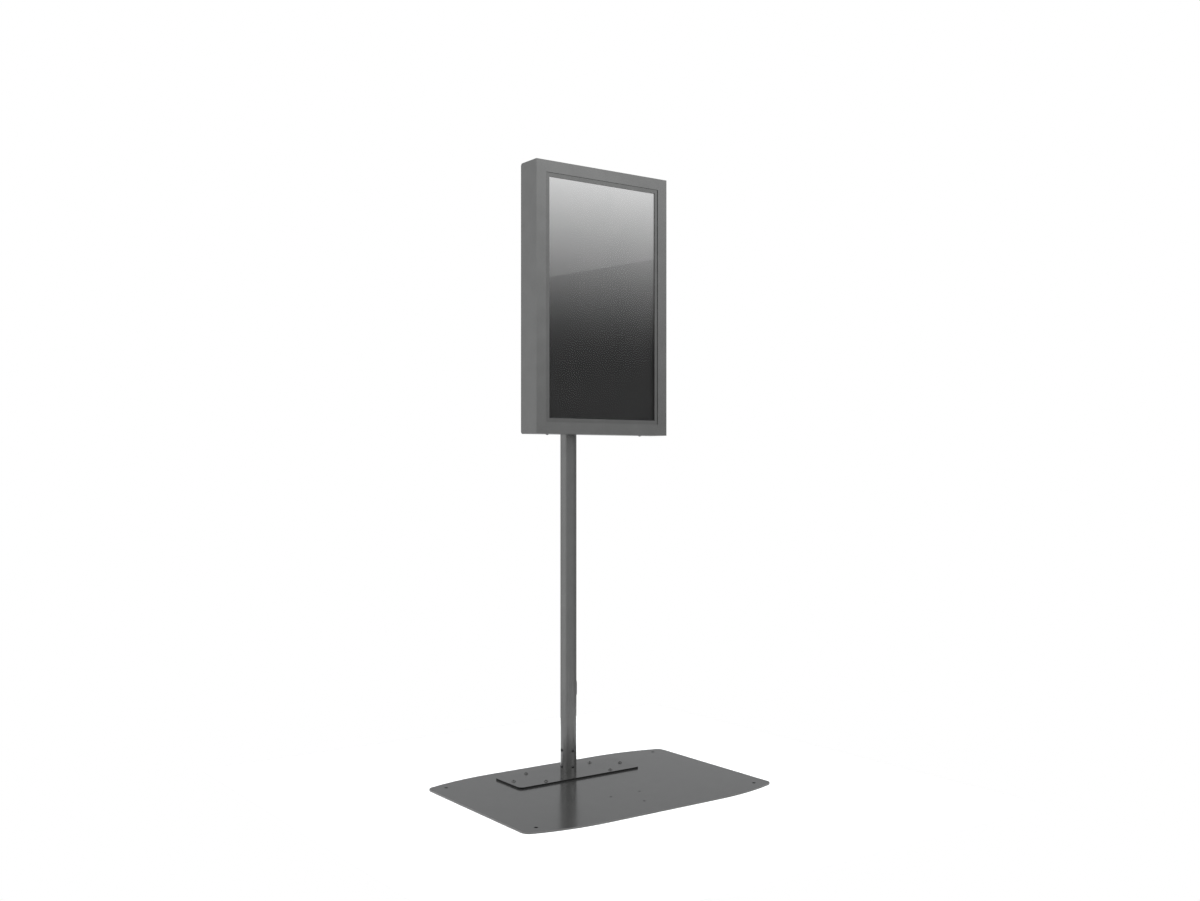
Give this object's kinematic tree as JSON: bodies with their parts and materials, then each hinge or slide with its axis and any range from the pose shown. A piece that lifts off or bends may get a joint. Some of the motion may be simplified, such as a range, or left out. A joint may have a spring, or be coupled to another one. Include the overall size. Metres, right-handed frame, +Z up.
{
  "type": "touchscreen kiosk",
  "caption": "Floor-standing touchscreen kiosk: portrait touch display in a slim steel housing, clamped to a round pole on a wide flat base plate, with tilt, height slide and rear service door.",
  "frame": {"origin": "on the floor under the middle of the base plate", "axes": "+Z up along the pole, -Y out of the screen towards the visitor, +Y to the pole and the service side, +X to the visitor's right"},
  "size_m": [0.88, 0.62, 1.8435],
  "materials": {
    "anthracite_powder_coat": "fine texture powder coat, satin",
    "black_oxide_steel": "black oxide, oiled",
    "zinc_plated_steel": "bright zinc plating",
    "bright_steel": "turned and polished",
    "black_plastic": "moulded, fine grain",
    "black_rubber": "matt",
    "touch_glass": "polished",
    "display_film": "satin film",
    "display_frame": null,
    "circuit_board": "solder mask",
    "red_plastic": "moulded"
  },
  "bodies": {
    "stand": {"base_plate": "anthracite_powder_coat", "foot_flange": "anthracite_powder_coat", "pole_spigot": "bright_steel", "flange_bolts": "black_oxide_steel", "pole_tube": "anthracite_powder_coat", "pole_screws": "black_oxide_steel", "pole_cap": "black_plastic", "cable_grommets": "black_rubber"},
    "carriage": {"clamp_front": "anthracite_powder_coat", "clamp_rear": "anthracite_powder_coat", "clamp_liner": "black_plastic", "clamp_bolts": "black_oxide_steel", "tilt_fork": "anthracite_powder_coat", "fork_screws": "black_oxide_steel", "pivot_bolt": "zinc_plated_steel", "pivot_nut": "zinc_plated_steel"},
    "service_door": {"service_door": "anthracite_powder_coat", "lock_body": "bright_steel"},
    "lock": {"lock_core": "bright_steel", "lock_cam": "zinc_plated_steel"},
    "rocker": {"rocker": "red_plastic"},
    "power_button": {"power_button": "bright_steel"},
    "fan_rotor": {"fan_rotor": "black_plastic"},
    "housing": {"vesa_bracket": "anthracite_powder_coat", "vesa_screws": "black_oxide_steel", "housing_shell": "anthracite_powder_coat", "inner_bezel": "anthracite_powder_coat", "bezel_gasket": "black_rubber", "touch_glass": "touch_glass", "panel_gasket": "black_rubber", "lcd_panel": "display_film", "backlight_unit": "display_frame", "panel_rails": "zinc_plated_steel", "rail_nuts": "zinc_plated_steel", "chassis_tray": "zinc_plated_steel", "mounting_bosses": "zinc_plated_steel", "media_player": "black_plastic", "player_feet": "black_rubber", "power_supply": "zinc_plated_steel", "display_board": "circuit_board", "touch_controller": "circuit_board", "board_spacers": "zinc_plated_steel", "wiring_loom": "black_rubber", "fan_frame": "black_plastic", "rear_cover": "anthracite_powder_coat", "cover_screws": "black_oxide_steel", "security_screws": "black_oxide_steel", "security_nuts": "zinc_plated_steel", "power_inlet": "black_plastic", "switch_body": "black_plastic", "button_body": "bright_steel", "rear_grommet": "black_rubber", "hinge_leaf": "zinc_plated_steel", "hinge_pin": "bright_steel", "fan_screws": "black_oxide_steel", "board_screws": "zinc_plated_steel"}
  },
  "joints": [
    {"name": "height_slide", "type": "slide", "parent": "stand", "child": "carriage", "axis": [0, 0, 1], "range_m": [-0.3, 0.2]},
    {"name": "housing_tilt", "type": "hinge", "parent": "carriage", "child": "housing", "pos_m": [0, 0.108, 1.4485], "axis": [-1, 0, 0], "range_deg": [-5, 10]},
    {"name": "door_hinge", "type": "hinge", "parent": "housing", "child": "service_door", "pos_m": [-0.198, 0.076, 1.2015], "axis": [0, 0, 1], "range_deg": [0, 110]},
    {"name": "lock_turn", "type": "hinge", "parent": "service_door", "child": "lock", "pos_m": [-0.062, 0.074, 1.2015], "axis": [0, -1, 0], "range_deg": [0, 90]},
    {"name": "rocker_tilt", "type": "hinge", "parent": "housing", "child": "rocker", "pos_m": [0.104, 0.071, 1.1055], "axis": [1, 0, 0], "range_deg": [0, 16]},
    {"name": "button_push", "type": "slide", "parent": "housing", "child": "power_button", "axis": [0, -1, 0], "range_m": [0, 0.0015], "stiffness_N_per_m": 500, "springref_m": -0.001},
    {"name": "fan_spin", "type": "hinge", "parent": "housing", "child": "fan_rotor", "pos_m": [0.125, 0.06, 1.6835], "axis": [0, 1, 0], "continuous": true}
  ]
}
